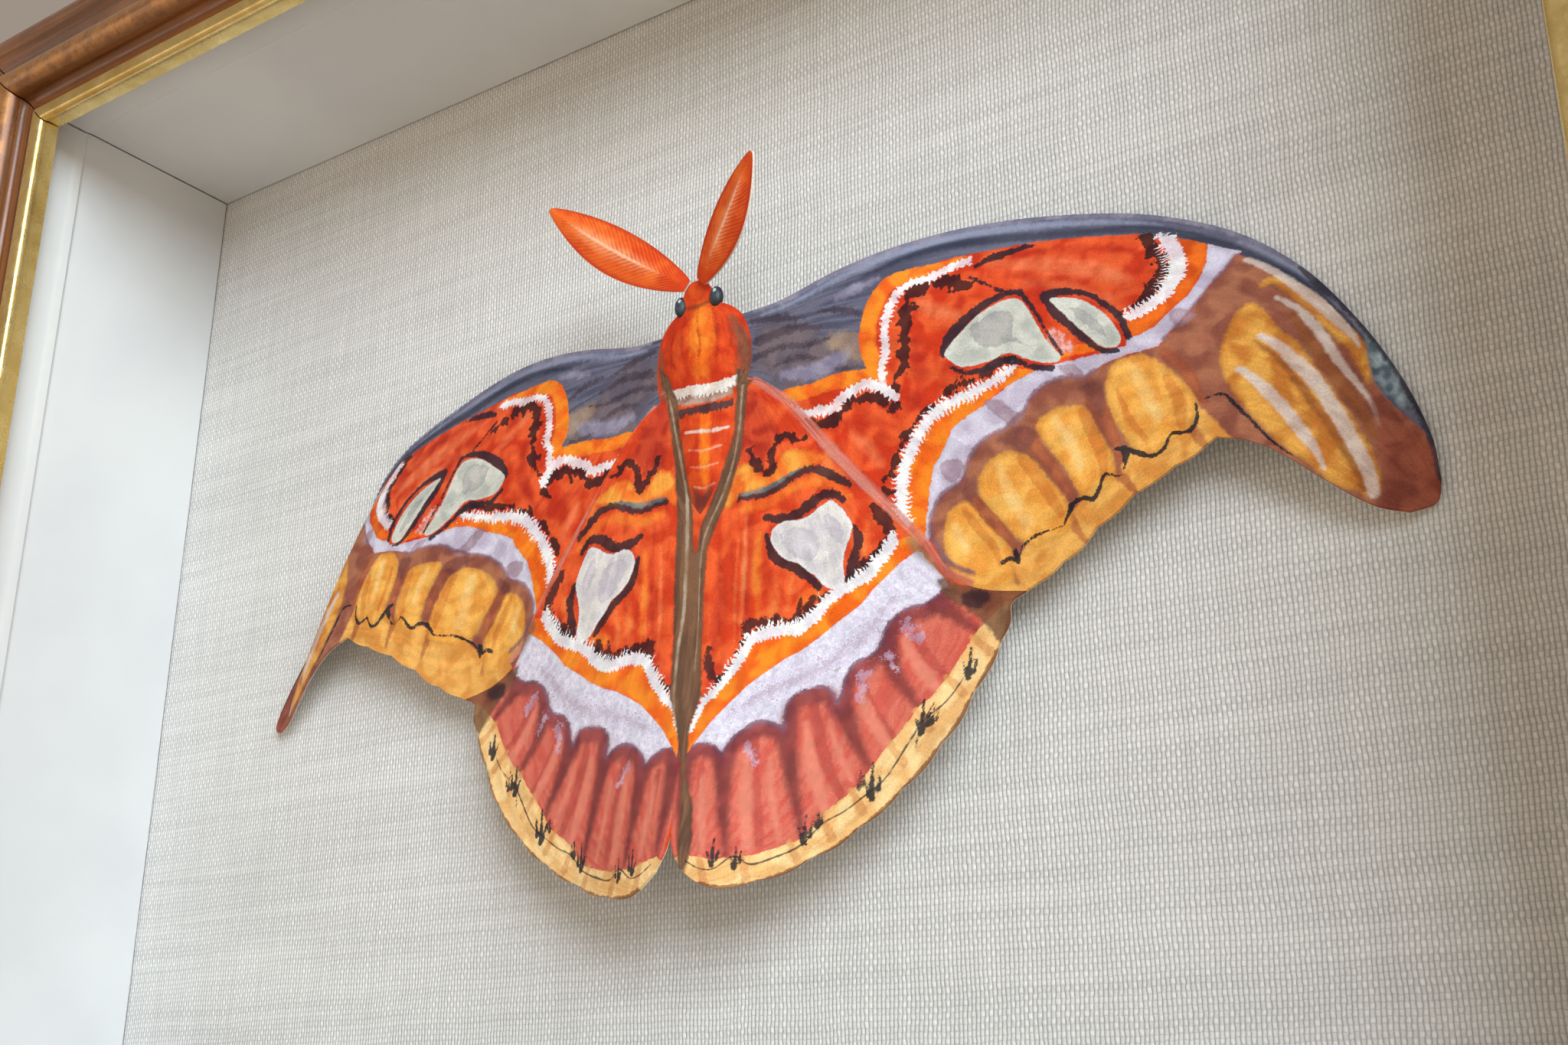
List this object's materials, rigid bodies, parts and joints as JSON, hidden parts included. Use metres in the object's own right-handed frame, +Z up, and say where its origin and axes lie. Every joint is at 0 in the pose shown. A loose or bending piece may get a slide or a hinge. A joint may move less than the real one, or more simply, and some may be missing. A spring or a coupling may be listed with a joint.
{
  "type": "framed paper silk moth",
  "caption": "Glazed shadow-box frame for a wall, holding a large silk moth cut from painted paper and bent into relief in front of a linen backing.",
  "frame": {"origin": "centre of the flat rear face of the frame, where the wall is", "axes": "+X to the viewer's right along the frame's long side, +Y back into the wall, +Z up; the moth faces -Y"},
  "size_m": [0.372, 0.0709, 0.298],
  "materials": {
    "forewing_paint": "watercolour on matt paper: red-orange with grey front edge, clear-edged windows, lilac and orange bands and amber lobes",
    "hindwing_paint": "watercolour on matt paper: red-orange with a window, lilac and orange bands, rose lobes and an ochre border",
    "body_paint": "watercolour on matt paper: orange and red with a white collar and pale bars",
    "antenna_paint": "watercolour on matt paper, orange-red with a pale rib",
    "eye_paint": "blue-grey watercolour",
    "foam": "off-white foam",
    "moulding": "dark brown with a rubbed copper bead, satin",
    "gilt": "gilded wood, satin",
    "white_board": "matt white",
    "linen": "undyed plain-weave linen with slubs",
    "back_board": "plain brown board",
    "glass": "clear picture glass",
    "hanger_steel": "plated steel"
  },
  "bodies": {
    "root": {"forewing_left": "forewing_paint", "forewing_right": "forewing_paint", "hindwing_left": "hindwing_paint", "hindwing_right": "hindwing_paint", "head": "body_paint", "thorax": "body_paint", "abdomen": "body_paint", "antenna_left": "antenna_paint", "antenna_right": "antenna_paint", "eye_left": "eye_paint", "eye_right": "eye_paint", "mounting_pad": "foam", "rail_top": "moulding", "rail_bottom": "moulding", "rail_left": "moulding", "rail_right": "moulding", "slip_top": "gilt", "slip_bottom": "gilt", "slip_left": "gilt", "slip_right": "gilt", "wall_top": "white_board", "wall_bottom": "white_board", "wall_left": "white_board", "wall_right": "white_board", "linen_board": "linen", "back_board": "back_board", "glass": "glass", "hanger": "hanger_steel"}
  },
  "joints": []
}
